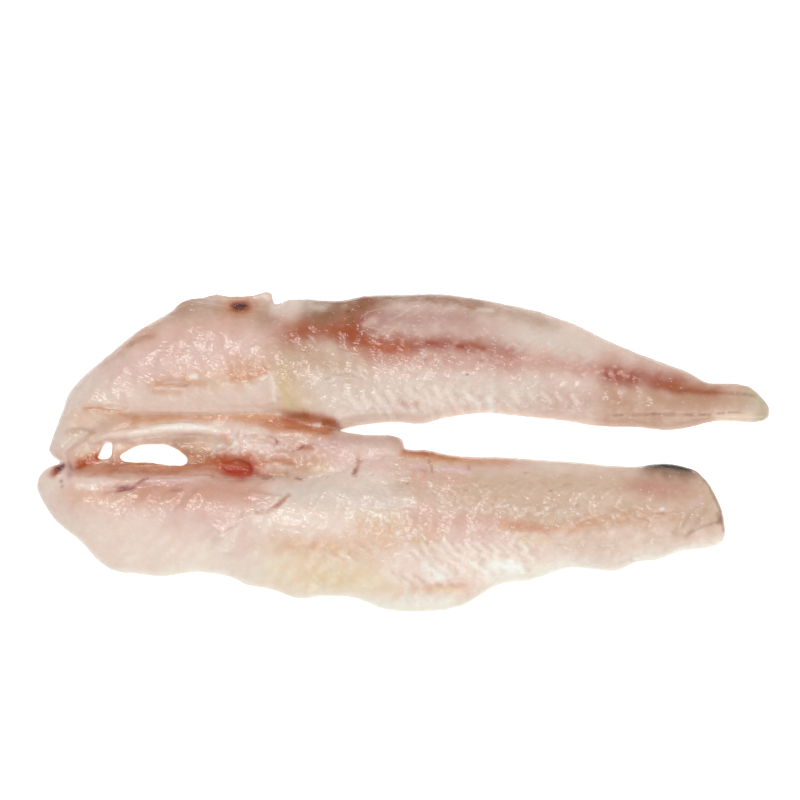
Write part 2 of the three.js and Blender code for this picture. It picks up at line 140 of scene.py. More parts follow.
# All that a user would change on the flesh, sizes in mm unless noted
flesh = {
    "grid": 0.55,                   # between points of the fine surface
    "smoothing": 5,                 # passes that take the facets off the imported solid
    "flatBelow": 0.2,               # the underside is flat up to this height
    "slopeFacing": -0.3,            # faces that point further down than this get no slope
    "slopeAbove": 1.2,              # slopes are laid only above this height
    "slopeBlend": 4,                # how sharply a slope meets what it leans on, per mm
    "reliefFacing": (0.0, 0.5),     # from sideways to upwards, where the relief fades in
    "reliefAbove": (0.3, 1.6),      # heights over which it fades in
    "fibreHeight": 0.05,            # fine fibres that run along the sides
    "fibreWidth": 0.9,
    "fibreStretch": 0.35,           # width over length of a fibre
    "tearRagged": 0.35,             # how far a torn edge wanders
    "tearLump": 1.6,                # in lumps of this size
    "tearFade": 1.5,                # over this length it starts and ends
    "strokeSeed": 8,
    "leanScatter": 8,               # degrees by which a flake leans off its row
    "gapStrength": 0.35,            # colour of the groove between flakes, as a share of theirs
    "gapHeight": -0.4,              # its height, as a share of theirs
    "gapWidth": 0.5,                # its width, as a share of theirs
    "farRim": 0.85,                 # strength of the brown rim along the far edge, partly its membrane and partly painted shade
    "nearEdgeLight": 0.7,                # strength of the painted light on the lower side's near-facing edge, the floor's glow seen through the slender flesh
    "napeFaceLight": 0.8,                # strength of the painted light on the near-facing wall of the upper side's head, lifting its shade to the pale of the top
    "mottle": [(6, 0.7, 31), (2.6, 0.6, 32), (1.2, 0.3, 33)],    # size, strength and seed
    "mottleTint": (0.025, 0.05, 0.07),    # how far it shifts red, green and blue
    "plainGlitter": 0.3,            # where no path below asks for more

    # Lumps of the soft surface: size and height in mm
    "lumps": [(9, 0.22), (3.8, 0.12), (1.9, 0.06), (1.2, 0.03)],

    # Flesh that slopes away softly where the solid has a wall: how steeply it falls,
    # how far it reaches in mm, and the path of its top with the height above the table
    "slopes": [
        (0.55, 5, [(46, 97.5, 6.6), (60, 97, 6.8), (68, 97, 6.1), (71.5, 97.2, 6)]),
        (0.8, 5.6, [(13.5, 41, 6.2), (19, 41, 6.8), (24, 41, 6.7), (34, 40.8, 7.4), (46, 40.8, 7.4),
                    (54, 41, 6.8)]),
        (0.8, 4, [(54, 41, 6.8), (58, 41, 5.9), (61, 41, 5.4), (66, 41, 5.1), (76, 41, 5.8)]),
        (0.7, 4, [(32, 58.4, 4.8), (44, 59, 5.3), (54, 58.6, 4.8)]),
        (0.8, 3.2, [(28, 67, 7.3), (40, 66.8, 7.1), (56, 66.8, 7.0), (72, 67, 7.5)]),
        (0.9, 4, [(70, 47, 5.5), (70, 43, 4.9)]),
        (0.9, 4, [(59, 49.2, 4.7), (66, 49.4, 5.5)]),
        (0.85, 4, [(58.8, 22.2, 11), (57, 23.6, 10.9), (55.4, 25, 10.7), (53, 26.4, 10.5)]),
        (0.8, 4, [(60, 21.8, 11.2), (62, 23.2, 11.3), (64, 24.8, 11.2), (66, 26.2, 11.1)]),
    ],

    # Ridges (above 0) and grooves (below 0): height in mm, half width, path
    "creases": [
        (0.5, 1.3, [(13, 38.9), (18, 38.4), (24, 38.6)]),
        (0.5, 1.2, [(34, 39.6), (44, 39.6), (54, 41)]),
        (-0.5, 0.8, [(25, 37.2), (28.5, 37.3), (31, 38.6), (35, 40.6)]),
        (0.7, 1.6, [(28, 55.6), (40, 57.4), (50, 57.8), (58, 56.8)]),
        (-0.3, 0.9, [(36, 53.9), (48, 54.4), (58, 53.6)]),
        (-0.5, 1.2, [(77, 61.6), (84, 61), (92, 59)]),
        (0.6, 0.8, [(54, 49.2), (58, 49.8), (61, 51.4)]),
        (0.6, 0.9, [(61, 51.5), (63, 54), (64, 57)]),
        (0.6, 1.2, [(64, 56), (69, 55.8), (74, 53)]),
        (-0.5, 0.6, [(66, 53.4), (71, 53), (74.4, 51)]),
        (-0.5, 0.6, [(75, 54.6), (74.6, 52.5)]),
        (-0.5, 0.5, [(80, 50.2), (82.5, 51.6), (84.5, 52)]),
        (0.4, 0.7, [(84, 51.4), (88, 50.6), (93, 50.8)]),
        (-0.4, 0.7, [(70, 47.5), (78, 46.8), (86, 47.4)]),
        (0.35, 0.9, [(70, 49.5), (78, 49.2)]),
        (0.35, 0.9, [(73, 45.8), (79, 44.2), (84, 45)]),
        (-0.35, 0.6, [(70, 42.6), (76, 42.6), (84, 41)]),
        (-0.4, 0.7, [(99, 41.6), (100, 44), (100.6, 47)]),
        (-0.35, 0.5, [(121.8, 46.6), (122.8, 44.5), (123.2, 42.6)]),
        (0.3, 0.8, [(126, 43.8), (132, 43), (135, 42)]),
        (-0.25, 0.4, [(90, 72), (93, 74), (98, 73.4), (102, 72.6)]),
        (0.2, 0.8, [(90, 71), (94, 72.8), (100, 72)]),
        (-0.2, 0.5, [(180, 62.3), (196, 62.4), (210, 62.9), (222, 64)]),
        (-0.2, 0.6, [(188, 72.4), (200, 70.6), (212, 70.4), (226, 69.8)]),
        (-0.35, 0.5, [(201, 23.4), (205, 25.2), (209, 26.6), (212, 28)]),
        (0.3, 0.9, [(198, 23), (200, 27), (201, 30)]),
        (-0.25, 0.6, [(200, 31), (205, 32), (209, 34)]),
        (-0.3, 0.5, [(188, 30.2), (192, 29.6), (198, 30.4)]),
        (0.35, 0.7, [(190, 30.8), (194, 30.8)]),
        (-0.25, 0.5, [(103, 30.6), (110, 30), (117, 30.8)]),
        (-0.25, 0.5, [(10, 57), (13, 57.4), (17, 56.6)]),
        (-0.3, 0.5, [(60.6, 22.4), (62.6, 25), (65, 27.4), (66.4, 29)]),
        (-0.3, 0.5, [(102, 85.6), (104, 88), (106, 90)]),
    ],

    # Torn edges, one side standing proud: height in mm, how far that side slopes away, path.
    # The proud side is on the left of the path as it runs.
    "tears": [
        (0.35, 2.4, [(68.6, 28.6), (72.4, 29.2), (75, 30.8), (76.6, 33), (77.6, 34.6)]),
        (0.5, 3, [(29, 63.6), (24, 64), (18, 63.9), (13.5, 64.4)]),
        (0.5, 4, [(100.4, 90), (101, 92.4), (103.8, 93.8), (105, 95.6)]),
        (0.5, 5, [(66, 70.4), (69.6, 72), (72.4, 73.4), (74, 71.6), (74.2, 66)]),
        (0.25, 4, [(36, 70.6), (42, 71.2), (49, 70.4)]),
        (0.25, 3, [(104.8, 97.6), (113, 98.2), (124, 97.6)]),
    ],

    # Rows of short flakes, each a raised stroke with a pale face, partly the flake's own colour and partly a
    # painted highlight: tint, strength, height in mm, length, half width, how far it leans in degrees,
    # pitch, scatter, path of the row
    "flakeRows": [
        ("white", 0.9, 0.32, 3.6, 0.9, -36, 3.6, 0.2, [(119, 18.8), (128, 18), (142, 18.4), (154, 19)]),
        ("white", 0.9, 0.34, 4.0, 1.1, -34, 4.2, 0.2, [(113, 15.4), (124, 14.8), (136, 15.4), (152, 16.4)]),
        ("highlightWhite", 0.9, 0.34, 4.4, 1.25, -30, 4.4, 0.2, [(120, 11.8), (130, 11.8), (140, 13), (152, 14)]),
        ("white", 0.8, 0.28, 4.0, 1.0, -30, 4.4, 0.4, [(106, 9.4), (118, 8.8), (128, 9.4)]),
        ("white", 0.5, 0.18, 3.6, 0.8, -25, 4.6, 0.8, [(84, 17), (96, 16.6), (110, 17)]),
        ("white", 0.75, 0.3, 4.6, 1.1, -58, 4.8, 0.5, [(96, 66.4), (106, 66.4), (116, 66.6)]),
        ("white", 0.75, 0.26, 3.2, 1.0, -48, 4.4, 0.7, [(113, 68.6), (124, 69), (136, 68.8)]),
        ("highlightWhite", 0.6, 0.3, 4.4, 1.1, -48, 5.4, 0.5, [(134, 67), (146, 66.6)]),
        ("white", 0.5, 0.2, 2.6, 0.8, -40, 3.4, 0.8, [(114, 65.4), (134, 65.6)]),
        ("white", 0.6, 0.26, 3.0, 0.9, -52, 4.4, 0.7, [(146, 68), (160, 67.8), (172, 65.6)]),
        ("white", 0.5, 0.2, 3.0, 0.7, -52, 3.8, 0.8, [(100, 63.4), (120, 63.6), (142, 65), (150, 65)]),
        ("white", 0.35, 0.12, 3.4, 0.5, -35, 3.6, 0.8, [(98, 75.2), (112, 75.2), (124, 74.6)]),
        ("greyWhite", 0.35, 0.12, 4.4, 0.6, 38, 3.6, 1.0, [(146, 84.6), (160, 82.6), (174, 81)]),
        ("greyWhite", 0.3, 0.12, 4.0, 0.6, 40, 4.0, 1.2, [(108, 95), (120, 95.6), (132, 94.6)]),
        ("greyWhite", 0.25, 0.10, 4.0, 0.5, 35, 3.6, 0.8, [(134, 36), (160, 36.6), (186, 35)]),
    ],

    # Scattered specks, each a small wet bump, the pale ones painted as spots that stand in for their glints:
    # tint, strength, height in mm, half width, how many to the mm, scatter across, path
    "specks": [
        ("speck", 0.75, 0.2, 0.5, 1.1, 1.5, [(147, 80.6), (156, 79), (166, 77.6), (178, 76.4), (186, 74.6)]),
        ("speck", 0.5, 0.12, 0.4, 0.5, 1.3, [(104, 86), (120, 85.2), (138, 84.4), (147, 82)]),
        ("speck", 0.5, 0.1, 0.36, 0.45, 2.6, [(104, 92.6), (116, 94), (131, 93.4)]),
        ("white", 0.35, 0.03, 0.34, 1.2, 1.5, [(44, 79), (56, 80.6), (68, 81.6)]),
        ("white", 0.2, 0.015, 0.34, 0.8, 3.2, [(26, 76), (40, 76), (58, 77)]),
        ("highlightWhite", 0.5, 0.14, 0.38, 2.2, 1.1, [(103, 27.4), (111, 27.6)]),
        ("highlightWhite", 0.5, 0.14, 0.38, 2.2, 1.1, [(111, 21.6), (119, 21.8)]),
        ("highlightWhite", 0.5, 0.14, 0.38, 1.6, 0.9, [(114, 33.4), (118, 33.6)]),
        ("white", 0.5, 0.14, 0.42, 1.7, 1.2, [(134, 24), (140, 23.2), (150, 21)]),
        ("white", 0.5, 0.14, 0.42, 1.7, 1.3, [(132, 30.6), (146, 30.6), (166, 29.8)]),
        ("greyWhite", 0.45, 0.14, 0.5, 1.4, 1.1, [(162, 27.4), (178, 28.4), (196, 29.6)]),
        ("white", 0.4, 0.06, 0.38, 1.0, 1.8, [(92, 48), (104, 47), (113, 46.6)]),
        ("white", 0.4, 0.05, 0.4, 0.7, 3.4, [(84, 26), (96, 24), (106, 22)]),
        ("white", 0.2, 0.015, 0.34, 0.6, 3.0, [(46, 26), (60, 25), (74, 24)]),
        ("white", 0.35, 0.06, 0.4, 0.8, 3.0, [(90, 66), (120, 66.6), (150, 66.6)]),
        ("speck", 0.35, 0.08, 0.36, 0.5, 3.0, [(150, 70), (166, 70), (182, 67)]),
        ("white", 0.35, 0.06, 0.36, 0.6, 3.4, [(126, 26), (150, 26), (180, 22)]),
        ("yellowSpeck", 0.4, 0.06, 0.4, 0.9, 2.6, [(80, 18), (96, 17.6), (106, 17)]),
        ("highlightWhite", 0.6, 0.16, 0.42, 1.2, 1.6, [(53, 50), (60, 52), (66, 54)]),
        ("highlightWhite", 0.5, 0.14, 0.4, 1.0, 1.8, [(66, 52), (76, 50), (90, 50.6)]),
        ("highlightWhite", 0.5, 0.12, 0.4, 0.9, 0.5, [(38, 57.8), (46, 58.4), (54, 58.2)]),
        ("pinkSpeck", 0.5, 0.08, 0.36, 0.5, 1.6, [(66, 39), (76, 40), (90, 43)]),
        ("darkSpeck", 0.5, -0.08, 0.34, 0.12, 4.0, [(80, 84), (112, 82), (150, 78)]),
        ("darkSpeck", 0.35, -0.08, 0.3, 0.12, 4.0, [(90, 44), (120, 38), (170, 38)]),
    ],

    # Where the wet surface glitters, with painted glints in its colour and small bumps: strength, half
    # width, path
    "glitter": [
        (1.0, 3.4, [(96, 66), (120, 67), (146, 67), (172, 66)]),
        (1.0, 5.0, [(110, 13), (128, 13.4), (152, 15.4)]),
        (0.55, 2.4, [(146, 80.6), (160, 78.6), (176, 77), (188, 74)]),
        (0.45, 2.2, [(106, 85), (126, 84), (146, 82)]),
        (1.0, 2.0, [(100, 25.6), (112, 25.4)]),
        (1.0, 1.6, [(110, 21.4), (122, 21.2)]),
        (0.9, 2.6, [(132, 22.4), (152, 22)]),
        (0.9, 2.2, [(126, 30), (146, 30.4), (168, 29.4)]),
        (0.9, 2.4, [(158, 26), (178, 27.6), (200, 28.6)]),
        (0.8, 3.0, [(164, 20), (182, 19.6), (198, 22)]),
        (0.8, 3.6, [(58, 53), (68, 53), (82, 52), (94, 51)]),
        (0.8, 3.0, [(92, 47.6), (114, 47), (132, 43.6)]),
        (0.7, 3.6, [(28, 78), (44, 80), (64, 81.6)]),
        (0.6, 3.4, [(100, 94), (116, 95), (134, 94)]),
        (0.7, 1.6, [(34, 57.6), (46, 58.6), (58, 58)]),
        (0.6, 1.6, [(13, 38.6), (24, 38.6), (52, 40.4)]),
        (0.5, 5.0, [(40, 27), (66, 22), (100, 22)]),
        (0.7, 2.0, [(112, 33.4), (120, 33.4)]),
        (0.7, 3.0, [(196, 27), (206, 33)]),
    ],

    "tints": {
        "cream": tone(230, 210, 197), "nape": tone(238, 218, 206), "greyCream": tone(222, 207, 197),
        "palePink": tone(225, 193, 184), "pink": tone(217, 176, 162), "rose": tone(198, 148, 136),
        "dustyPink": tone(203, 170, 158), "tan": tone(207, 180, 158), "peach": tone(225, 192, 168),
        "orange": tone(209, 156, 122), "deepOrange": tone(186, 110, 74), "redBrown": tone(172, 108, 86),
        "bandRed": tone(166, 96, 84), "brownGrey": tone(150, 108, 86), "brown": tone(150, 98, 70),
        "darkBrown": tone(105, 62, 44), "lilac": tone(222, 192, 190), "lilacGrey": tone(191, 154, 144),
        "purple": tone(156, 84, 96), "blood": tone(146, 44, 28), "darkBlood": tone(106, 60, 0),
        "pit": tone(184, 94, 66), "yellow": tone(216, 192, 148), "paleYellow": tone(236, 217, 187),
        # Painted light among these tints: the whitest stands in for highlights, the palest cream for light
        # seen through slender edges, and the rim brown is partly painted shade
        "white": tone(240, 226, 214), "highlightWhite": tone(251, 243, 236), "greyWhite": tone(226, 212, 202),
        "greenGrey": tone(196, 184, 160), "litEdgeTint": tone(238, 236, 224), "skin": tone(78, 72, 70),
        "greyBrown": tone(186, 156, 138), "tail": tone(196, 158, 136), "rim": tone(150, 122, 106),
        "speck": tone(230, 188, 176), "pinkSpeck": tone(228, 180, 170), "darkSpeck": tone(120, 72, 62),
        "yellowSpeck": tone(244, 222, 180), "gap": tone(204, 176, 160), "belt": tone(198, 140, 117),
        "membrane": tone(198, 144, 112), "flushed": tone(213, 166, 148),
    },

    # Soft washes of colour: tint, strength, mm at which it has faded to a half, path
    "washes": [
        # head of the upper side
        ("greyCream", 0.9, 6, [(6, 55), (8, 66), (14, 74), (22, 80)]),
        ("palePink", 0.8, 8, [(28, 76), (46, 79), (62, 82)]),
        ("cream", 0.7, 3.6, [(24, 67), (46, 66.6), (64, 66.6)]),
        ("pink", 0.7, 6, [(34, 88), (50, 92), (66, 92), (76, 88)]),
        # darker along the far rim: partly its grey-brown membrane, partly painted shade where the flesh
        # curves away
        ("greyBrown", 0.9, 4, [(44, 98), (54, 98.6), (66, 97), (70, 95)]),
        ("orange", 0.3, 2.6, [(26, 85), (34, 88)]),
        ("greyBrown", 0.4, 2.2, [(20, 80.4), (32, 90), (44, 98)]),
        ("orange", 0.4, 2, [(36, 71.4), (46, 72)]),
        ("peach", 0.6, 3.4, [(50, 72), (62, 74)]),
        ("orange", 0.5, 3.4, [(62, 75.4), (72, 76.4)]),
        # middle of the upper side
        ("tan", 0.9, 6, [(78, 78), (88, 77), (98, 77)]),
        ("yellow", 0.65, 3.4, [(77, 71), (78.6, 66), (84, 66)]),
        ("redBrown", 0.9, 5.2, [(80, 88.6), (90, 90), (100, 90)]),
        ("brownGrey", 0.9, 4.4, [(88, 96), (98, 96.4), (104, 99)]),
        ("bandRed", 0.85, 3.3, [(98, 87), (106, 84.6), (120, 84.4), (138, 83.6), (147, 81.6)]),
        ("deepOrange", 0.6, 3, [(102, 84), (109, 82), (114, 82)]),
        ("rose", 0.6, 3.4, [(106, 79), (125, 78.6), (147, 77.6)]),
        ("lilacGrey", 0.9, 3.8, [(107, 93.4), (120, 94), (132, 93)]),
        ("dustyPink", 0.7, 4.4, [(134, 91), (146, 88.6)]),
        # darker along the far rim: partly its grey-brown membrane, partly painted shade where the flesh
        # curves away
        ("brownGrey", 0.75, 2.2, [(84, 99.6), (98, 101), (112, 101.6), (126, 101.4), (138, 99.8)]),
        ("greyBrown", 0.7, 3, [(138, 98), (150, 95.6), (160, 92)]),
        ("greyCream", 0.75, 3.8, [(148, 88), (160, 86), (172, 83)]),
        ("greyWhite", 0.6, 2.2, [(74, 98.4), (82, 99.4), (88, 98.4)]),
        ("greyCream", 0.8, 4.6, [(90, 68), (106, 66.6), (124, 67.4), (142, 69), (156, 69)]),
        # towards its tail
        ("rose", 0.65, 3.4, [(148, 79.4), (164, 77.6), (178, 76)]),
        ("rose", 0.6, 4, [(180, 79), (192, 76.6), (202, 74)]),
        ("bandRed", 0.9, 3.0, [(179, 74.6), (192, 72.8), (202, 71)]),
        ("redBrown", 0.8, 2.4, [(200, 71.4), (213, 70.4)]),
        ("dustyPink", 0.6, 4.0, [(160, 67), (168, 66), (178, 66)]),
        ("tail", 0.85, 4.4, [(180, 66), (196, 66), (208, 66)]),
        ("tail", 0.85, 3.6, [(206, 69), (220, 68.6)]),
        ("tan", 0.5, 2.4, [(216, 66.4), (223, 67)]),
        ("tail", 0.6, 2.0, [(178, 61), (200, 60.6), (210, 61.4)]),
        ("greenGrey", 0.85, 2.4, [(224, 71), (228, 66), (227, 62.6)]),
        # where the sides join
        ("orange", 0.5, 3.6, [(12, 48), (30, 50), (48, 50)]),
        ("peach", 0.8, 3, [(12, 60), (24, 60.4), (40, 60)]),
        ("cream", 0.7, 2.4, [(12, 57.6), (24, 58)]),
        ("belt", 0.95, 3.2, [(14, 44.8), (26, 44.4), (40, 44.2), (54, 45.4)]),
        ("redBrown", 0.5, 1.4, [(22, 47), (34, 46.6), (46, 46.6), (56, 47.6)]),
        ("membrane", 0.9, 2.6, [(46, 52.6), (52, 50), (57, 47.6)]),
        ("belt", 0.7, 3.0, [(72, 44.6), (82, 43.6)]),
        ("pit", 0.6, 3.2, [(60, 45), (66, 45)]),
        # painted shadow: warm shade beneath the upper side's ledge
        ("orange", 0.8, 1.7, [(30, 61.4), (46, 62), (60, 62), (72, 61.4)]),
        ("nape", 0.85, 2.2, [(26, 56.4), (40, 58), (52, 58.4), (60, 57)]),
        ("orange", 0.85, 2.6, [(66, 60), (78, 58.4), (90, 56.6)]),
        ("palePink", 0.75, 3, [(60, 56), (68, 55.6), (74, 53)]),
        ("pink", 0.75, 3.4, [(68, 50), (80, 51), (92, 50.6)]),
        ("orange", 0.5, 2, [(70, 46.6), (80, 45.6), (88, 46)]),
        ("tan", 0.5, 2, [(76, 42.4), (84, 42.6), (90, 44)]),
        ("palePink", 0.75, 4, [(96, 48), (106, 46.6), (112, 46)]),
        ("lilacGrey", 0.6, 2, [(92, 54), (104, 53.6), (113, 53)]),
        ("greyBrown", 0.45, 1.6, [(111, 54.6), (114, 52)]),
        ("lilac", 0.6, 2, [(10, 46), (11, 42)]),
        # head of the lower side
        ("nape", 0.9, 9, [(12, 27), (30, 22), (56, 17)]),
        ("greyCream", 0.6, 4, [(2, 40), (5, 32), (12, 25)]),
        ("pink", 0.75, 3.8, [(14, 35.4), (34, 34.6), (54, 35), (70, 36)]),
        ("peach", 0.6, 2, [(14, 34.6), (26, 33.4), (40, 34.6)]),
        ("palePink", 0.65, 5, [(46, 28), (58, 26), (62, 20)]),
        ("pink", 0.4, 4, [(56, 33), (68, 33)]),
        ("flushed", 0.8, 3.6, [(34, 36), (48, 35), (66, 36.6)]),
        ("rose", 0.35, 2.2, [(34, 39.6), (46, 40), (55, 41)]),
        # its middle
        ("greyCream", 0.9, 5, [(82, 36), (96, 33), (110, 34)]),
        ("white", 0.6, 4, [(74, 26), (90, 25.6), (102, 26)]),
        ("peach", 0.75, 3, [(76, 18.6), (92, 18), (108, 19)]),
        ("orange", 0.3, 2, [(80, 18), (96, 17)]),
        ("paleYellow", 0.85, 5, [(76, 11), (92, 9.4), (108, 8.4)]),
        ("yellow", 0.35, 2.6, [(86, 9.4), (97, 8.6)]),
        ("yellow", 0.4, 3, [(103, 26), (111, 25)]),
        ("peach", 0.7, 3, [(102, 23), (112, 22), (122, 22)]),
        ("peach", 0.5, 1.6, [(118, 6.6), (127, 6), (134, 7)]),
        ("nape", 0.8, 3.6, [(110, 13), (126, 12.6), (144, 14.6)]),
        # painted light: the slender near margin made pale, as if lit through from the floor
        ("litEdgeTint", 0.8, 2, [(98, 2.6), (114, 1.4), (128, 2.4)]),
        # towards its tail
        ("tan", 0.85, 5.4, [(118, 39), (134, 37), (156, 38), (182, 38), (204, 36)]),
        ("pink", 0.6, 3.6, [(118, 41), (130, 40)]),
        ("pink", 0.65, 4.4, [(120, 27), (134, 26), (144, 26)]),
        ("tan", 0.6, 3, [(128, 32), (144, 31), (164, 31)]),
        ("tan", 0.7, 3.4, [(152, 27), (170, 28), (188, 30)]),
        ("orange", 0.65, 1.5, [(145, 25.4), (156, 24.2), (168, 24.6)]),
        ("orange", 0.5, 2.2, [(168, 26.4), (182, 27.6), (198, 28.6)]),
        ("cream", 0.8, 3.2, [(152, 19.6), (168, 19), (184, 19.4), (200, 21)]),
        ("tan", 0.35, 3.0, [(160, 20), (180, 20), (200, 22)]),
        # painted light: the slender near margin made pale, as if lit through from the floor
        ("litEdgeTint", 0.7, 2.2, [(140, 9.4), (152, 11.4), (166, 14.4)]),
        ("greyCream", 0.6, 2, [(168, 14.6), (182, 15), (196, 18)]),
        ("tan", 0.7, 3, [(200, 26), (208, 28), (208, 34)]),
        ("rose", 0.7, 3.2, [(186, 38), (200, 38)]),
        ("orange", 0.8, 2, [(115, 49), (124, 47.6), (136, 46.6)]),
        ("pink", 0.6, 2.2, [(136, 46.4), (150, 45.6)]),
        ("greyBrown", 0.5, 3, [(188, 43.4), (196, 42), (204, 42)]),
        ("brownGrey", 0.55, 2.2, [(191, 44.4), (202, 43.2)]),
    ],

    # Drawn marks with a firmer edge, as the washes
    "marks": [
        # head of the upper side
        # painted shade along the slit, beneath its raised edge
        ("orange", 0.6, 0.8, [(15, 63.6), (22, 63.4), (28, 63.2)]),
        ("brown", 0.3, 0.35, [(19, 64.3), (23, 64.5), (28, 64.2)]),
        ("tan", 0.7, 1.0, [(9.5, 56.4), (13, 57.2), (17, 56.8)]),
        ("brown", 0.3, 1.0, [(28, 85.4), (31, 87), (35, 87.8)]),
        ("orange", 0.6, 4.2, [(60, 98.4), (64, 98.8)]),
        ("deepOrange", 0.8, 2.5, [(61, 98.6), (63, 98.8)]),
        ("brown", 0.9, 1.9, [(61, 98.6), (63, 98.8)]),
        ("darkBlood", 1.0, 1.3, [(61.3, 98.6), (62.7, 98.8)]),
        ("orange", 0.6, 0.9, [(61, 72.6), (66, 73), (71, 75)]),
        ("cream", 0.8, 2.0, [(66, 68.5), (70, 69), (72.2, 70.5)]),
        ("white", 0.8, 0.5, [(69.6, 72.2), (72.6, 73.4), (73.8, 70), (74, 66)]),
        # a painted highlight on the upper side's head
        ("highlightWhite", 0.8, 0.7, [(48, 73.2), (49.3, 73)]),
        ("orange", 0.5, 0.9, [(37, 71.2), (45, 71.4), (52, 71)]),
        ("orange", 0.4, 0.8, [(36, 68.6), (44, 68.4)]),
        # middle of the upper side
        ("redBrown", 0.5, 3.0, [(84, 88), (92, 88), (100, 86.6)]),
        ("deepOrange", 0.55, 1.2, [(106, 83), (111, 81.6), (114, 82.4)]),
        ("redBrown", 0.35, 3.0, [(94, 91), (99, 92.4), (102, 94.6)]),
        ("blood", 0.35, 0.7, [(100.2, 90.4), (101.2, 92.6), (104.4, 94.4)]),
        ("palePink", 0.7, 1.3, [(102, 90.8), (104.6, 92.4)]),
        ("brown", 0.6, 0.5, [(96.2, 96.2), (98, 96.4)]),
        ("white", 0.6, 0.6, [(83.4, 65.8), (85, 65.2)]),
        ("brown", 0.15, 0.3, [(90, 72), (93, 74), (98, 73.4), (102, 72.6)]),
        ("cream", 0.6, 0.4, [(85.8, 74.6), (87.4, 71)]),
        ("bandRed", 0.6, 0.9, [(122, 84.6), (128, 84.8)]),
        ("bandRed", 0.7, 0.7, [(131.4, 83.4), (134, 83.4)]),
        ("redBrown", 0.6, 0.8, [(136, 84), (139.4, 82.6)]),
        ("greyWhite", 0.7, 0.9, [(138, 97), (142, 97)]),
        ("redBrown", 0.4, 0.8, [(133, 98.6), (137, 97.6)]),
        ("pink", 0.6, 0.9, [(113, 65.6), (118, 65)]),
        # tail of the upper side
        ("redBrown", 0.6, 1.2, [(194, 72), (202, 70.6), (212, 70.2)]),
        ("brown", 0.35, 0.6, [(201, 70.6), (212, 70.4), (225, 69.8)]),
        ("brown", 0.45, 0.3, [(180, 62.3), (183, 62.3)]),
        ("brown", 0.4, 0.3, [(186, 62.4), (199, 62.5)]),
        ("brown", 0.5, 0.3, [(202, 62.6), (205, 62.6)]),
        ("brown", 0.5, 0.3, [(207, 62.8), (210.5, 62.9)]),
        ("brown", 0.5, 0.35, [(213, 63.3), (215, 63.4)]),
        ("brown", 0.5, 0.35, [(216.5, 63.8), (220, 64.1)]),
        ("paleYellow", 0.5, 0.8, [(213, 62), (223, 63)]),
        # torn web
        ("deepOrange", 0.7, 1.4, [(5.6, 43), (6.6, 45)]),
        ("blood", 0.8, 1.0, [(6.6, 43.4), (7.6, 45.6)]),
        ("darkBlood", 0.8, 0.9, [(7.4, 44.6), (8.4, 45.6)]),
        ("darkBrown", 0.6, 0.5, [(8.6, 40.2)]),
        ("darkBrown", 0.35, 0.5, [(9, 38.4)]),
        ("lilacGrey", 0.7, 1.1, [(10.4, 46), (11, 42.4)]),
        ("deepOrange", 1.0, 1.7, [(13.4, 47), (15.4, 48.2), (18, 49.2)]),
        ("yellow", 0.4, 0.9, [(14.4, 50), (16.4, 51)]),
        ("brown", 0.45, 0.7, [(12.6, 45.4), (14.6, 47)]),
        ("redBrown", 0.4, 1.0, [(24, 44), (34, 43.4), (44, 43)]),
        ("orange", 0.5, 1.2, [(30, 46.6), (38, 46), (46, 45.6)]),
        ("white", 0.8, 1.1, [(14, 38.6), (19, 37.8)]),
        ("nape", 0.6, 1.0, [(13, 40.4), (24, 39.6)]),
        ("purple", 0.7, 0.8, [(26.6, 37), (28.8, 37.4), (31, 37.4)]),
        ("blood", 0.6, 0.5, [(27.6, 37.6), (28.6, 37.2)]),
        ("purple", 0.5, 0.5, [(31, 38), (33, 39.4), (35.4, 40.6)]),
        ("rose", 0.5, 0.6, [(22.6, 35.8), (26, 36.4)]),
        ("lilac", 0.6, 0.9, [(36, 39.6), (44, 39.6), (52, 40.8)]),
        ("brown", 0.35, 0.6, [(43, 36.4), (46, 36.2)]),
        ("pit", 0.95, 2.6, [(60, 44.8), (66, 44.8)]),
        ("deepOrange", 0.7, 1.4, [(56, 48), (61, 47.8), (66, 48)]),
        ("pit", 0.6, 1.4, [(62, 43), (64, 41.6)]),
        ("redBrown", 0.6, 0.8, [(68, 43), (73, 42.2)]),
        ("darkBrown", 0.55, 0.35, [(70.6, 41.2), (72.2, 41)]),
        ("darkBrown", 0.5, 0.35, [(74, 40.8)]),
        ("brown", 0.6, 0.5, [(81, 41.2), (82.4, 40.8)]),
        ("paleYellow", 0.6, 0.8, [(87, 43.6), (90, 44.4)]),
        ("deepOrange", 0.4, 0.8, [(68, 46.6), (76, 47), (80, 46)]),
        ("cream", 0.6, 0.8, [(72, 45.4), (79, 44.6)]),
        ("darkBrown", 0.5, 0.7, [(42.4, 53.8), (44.6, 53.6)]),
        ("tan", 0.8, 1.4, [(46, 53), (50, 51.6)]),
        ("brown", 0.35, 1.1, [(46, 51.4), (52, 49.6)]),
        ("white", 0.8, 1.3, [(30, 56), (40, 57.8), (50, 58.2), (58, 57.2)]),
        # a painted highlight along the top of the belly fold
        ("highlightWhite", 0.6, 0.8, [(40, 58.2), (46, 58.8), (56, 58.4)]),
        # painted shade beneath the belly fold
        ("tan", 0.4, 0.7, [(34, 54.6), (48, 54.8), (58, 54)]),
        # painted highlights on the lumps of the web
        ("highlightWhite", 0.4, 0.5, [(54.6, 49.6), (58, 50)]),
        ("highlightWhite", 0.5, 0.5, [(61.4, 51.8), (62, 53.6)]),
        ("white", 0.6, 1.4, [(62, 57), (68, 57), (71, 56)]),
        ("nape", 0.6, 1.5, [(67, 52.6), (72, 51)]),
        ("orange", 0.5, 0.9, [(58, 55.6), (60, 53)]),
        ("blood", 0.5, 0.4, [(74.7, 53.8), (74.9, 52.8)]),
        ("brown", 0.5, 0.35, [(79.8, 50.2), (81.6, 50.6)]),
